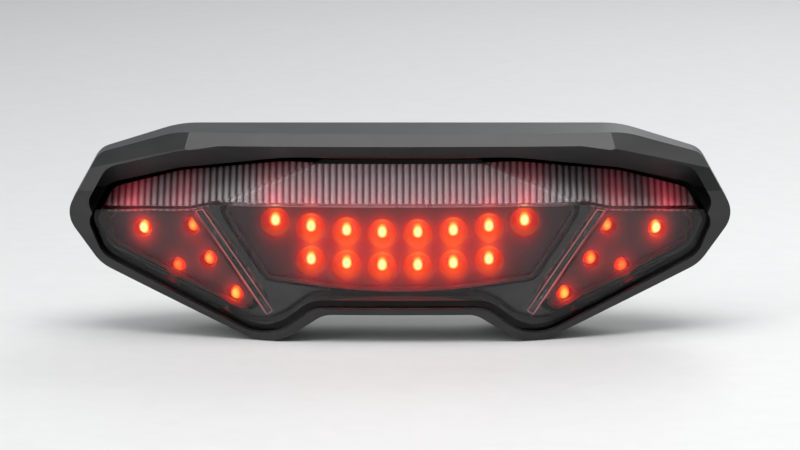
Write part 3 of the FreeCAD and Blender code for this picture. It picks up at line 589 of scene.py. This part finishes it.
def crease_row(tree, x, ahead, heights):
    """Moves the nearest row of a column onto the crease between two facets, and says which row it is."""
    def on_wing(z):
        return struck(tree, x, ahead, z)[1].z > WING_SLOPE

    sides = [on_wing(z) for z in heights[1:-1]]
    for row, (below, above) in enumerate(zip(sides, sides[1:]), 1):
        if below != above:
            crease = border(lambda z: on_wing(z) == below, heights[row], heights[row + 1])
            nearest = row if crease - heights[row] < heights[row + 1] - crease else row + 1
            heights[nearest] = crease
            return nearest
    return None


def strip_columns(bm, diodes):
    """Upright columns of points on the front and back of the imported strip, deeper where a groove is cut."""
    groove = bm.verts.layers.float.new("groove")
    glow = bm.verts.layers.float.new("glow")
    tree = BVHTree.FromObject(NODES["fluted_band"], bpy.context.evaluated_depsgraph_get())
    low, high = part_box("fluted_band")
    ahead, behind = low.y - 1 * MM, high.y + 1 * MM
    lift = Vector((0, 0, BAND_GLOW_RISE))
    step = FLUTE_PITCH / COLUMNS_PER_RIB
    count = int((high.x - low.x) / 2 / step)
    columns = []
    for i in range(-count, count + 1):
        x = i * step
        span = strip_span(tree, x, ahead, low.z, high.z)
        if span is None:
            continue
        valley = 1 - abs(math.cos(math.pi * x / FLUTE_PITCH))
        heights = [span[0] + (span[1] - span[0]) * j / BAND_ROWS for j in range(BAND_ROWS + 1)]
        crease = crease_row(tree, x, ahead, heights)
        front, back = [], []
        for j, z in enumerate(heights):
            near = struck(tree, x, ahead, z)[0]
            far = struck(tree, x, behind, z, -1)[0]
            depth = (far.y - near.y) if far else 0
            front.append(bm.verts.new((x, near.y + min(valley * FLUTE_DEPTH, depth / 2), z)))
            back.append(bm.verts.new((x, near.y + max(depth, BAND_LEAST_DEPTH), z)))
            for vert in (front[-1], back[-1]):
                # Sets where the painted crease highlight and painted groove shade fall.
                vert[groove] = (0 if j == crease else CREST) + (1 - CREST) * valley
                # Painted diode light on the strip.
                vert[glow] = BAND_GLOW * painted_diode_light(vert.co - lift, diodes, BAND_GLOW_SPREAD)
        columns.append((front, back))
    return columns


def strip_faces(bm, columns):
    """Closes the columns into one solid."""
    for (front, back), (front_next, back_next) in zip(columns, columns[1:]):
        for j in range(BAND_ROWS):
            bm.faces.new((front[j], front[j + 1], front_next[j + 1], front_next[j]))
            bm.faces.new((back[j], back_next[j], back_next[j + 1], back[j + 1]))
        for j in (0, BAND_ROWS):
            bm.faces.new((front[j], front_next[j], back_next[j], back[j]))
    for front, back in (columns[0], columns[-1]):
        for j in range(BAND_ROWS):
            bm.faces.new((front[j], front[j + 1], back[j + 1], back[j]))


def fluted_strip(seats, materials):
    """The ribbed strip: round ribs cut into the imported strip's front, smooth behind."""
    bm = bmesh.new()
    strip_faces(bm, strip_columns(bm, lamps(seats)))
    mesh = finish_mesh("fluted_strip", bm, sharp=50)
    piece = new_piece("fluted_strip", mesh, materials["flutes_clear"], "fluted_band")
    piece.visible_shadow = False


def light_blade(label, seats, materials):
    """A clear plate on edge whose front borders carry painted light from the diodes beside it."""
    node = NODES[f"{label}_light_blade"]
    bm = bmesh.new()
    bm.from_mesh(node.data)
    painted_light_border = bm.faces.layers.int.new("painted_light_border")
    glow = bm.loops.layers.float.new("glow")
    bmesh.ops.remove_doubles(bm, verts=bm.verts, dist=WELD)
    bmesh.ops.dissolve_limit(bm, angle_limit=math.radians(1), verts=bm.verts, edges=bm.edges)
    ahead = tilt(label) @ Vector((0, -1, 0))
    front = [face for face in bm.faces if face.normal.dot(ahead) > 0.9]
    for face in bmesh.ops.inset_region(bm, faces=front, thickness=BLADE_BORDER)["faces"]:
        face[painted_light_border] = 1
    refined(bm, BLADE_EDGE)
    diodes = lamps(seats)
    # Painted diode light on the front borders.
    for face in bm.faces:
        if face[painted_light_border]:
            for corner in face.loops:
                near = painted_diode_light(corner.vert.co, diodes, BLADE_GLOW_SPREAD)
                corner[glow] = BLADE_LEAST_GLOW + (1 - BLADE_LEAST_GLOW) * near
    mesh = finish_mesh(f"{label}_blade", bm, sharp=30)
    new_piece(f"{label}_blade_plate", mesh, materials["blade_clear"], node.name)


# ---------------------------------------------------------------- studio


def aim(thing, target):
    thing.rotation_mode = "QUATERNION"
    thing.rotation_quaternion = (target - thing.location).to_track_quat("-Z", "Y")


def camera():
    """Looks at the lamp from far enough away to make it look flat."""
    data = bpy.data.cameras.new("camera")
    data.lens = CAMERA_LENS
    data.sensor_width = CAMERA_SENSOR
    data.clip_start = 0.05
    data.clip_end = 50
    made = bpy.data.objects.new("camera", data)
    bpy.context.scene.collection.objects.link(made)
    target = Vector((0, (cad_low.y + cad_high.y) / 2, (cad_low.z + cad_high.z) / 2))
    elevation = math.radians(CAMERA_ELEVATION)
    width_in_view = (cad_high.x - cad_low.x) * VIEW_MARGIN
    distance = width_in_view * CAMERA_LENS / CAMERA_SENSOR
    made.location = target + Vector((0, -math.cos(elevation), math.sin(elevation))) * distance
    aim(made, target)
    bpy.context.scene.camera = made


def softbox(name, spot, size, watts, target):
    data = bpy.data.lights.new(name, "AREA")
    data.shape = "RECTANGLE"
    data.size, data.size_y = size
    data.energy = watts
    made = bpy.data.objects.new(name, data)
    bpy.context.scene.collection.objects.link(made)
    made.location = spot
    aim(made, target)


def pale_floor():
    made = Finish("floor")
    made.feed(Base_Color=made.ramp(made.noise(9 * MM, 5), (0.3, (0.66,) * 3), (0.7, (0.68,) * 3)))
    made.feed(Roughness=made.spread(made.noise(20 * MM), 0.5, 0.62))
    mesh = bpy.data.meshes.new("floor")
    corners = ((-1, -1), (1, -1), (1, 1), (-1, 1))
    mesh.from_pydata([(x * FLOOR_HALF, y * FLOOR_HALF, cad_low.z) for x, y in corners], [], [(0, 1, 2, 3)])
    mesh.materials.append(made.material)
    floor = bpy.data.objects.new("floor", mesh)
    bpy.context.scene.collection.objects.link(floor)


def studio():
    """A soft surrounding light and the soft boxes."""
    for name, (spot, size, watts) in SOFTBOXES.items():
        softbox(name, spot, size, watts, (cad_low + cad_high) / 2)
    world = bpy.data.worlds.new("studio")
    world.use_nodes = True
    sky = world.node_tree.nodes["Background"]
    sky.inputs["Color"].default_value = SKY_COLOUR
    sky.inputs["Strength"].default_value = SKY_STRENGTH
    bpy.context.scene.world = world
    bpy.context.scene.view_settings.view_transform = "Standard"


def build():
    camera()
    materials = finishes()
    paint_nodes(materials)
    round_edges()
    seats = {label: diode_seats(label) for label in MODULES}
    fluted_strip(sum(seats.values(), []), materials)
    for label, own in seats.items():
        lit_domes(label, own, materials)
        painted_glow_tray(label, own, materials)
        if label != "centre":
            light_blade(label, own, materials)
    studio()
    pale_floor()


build()
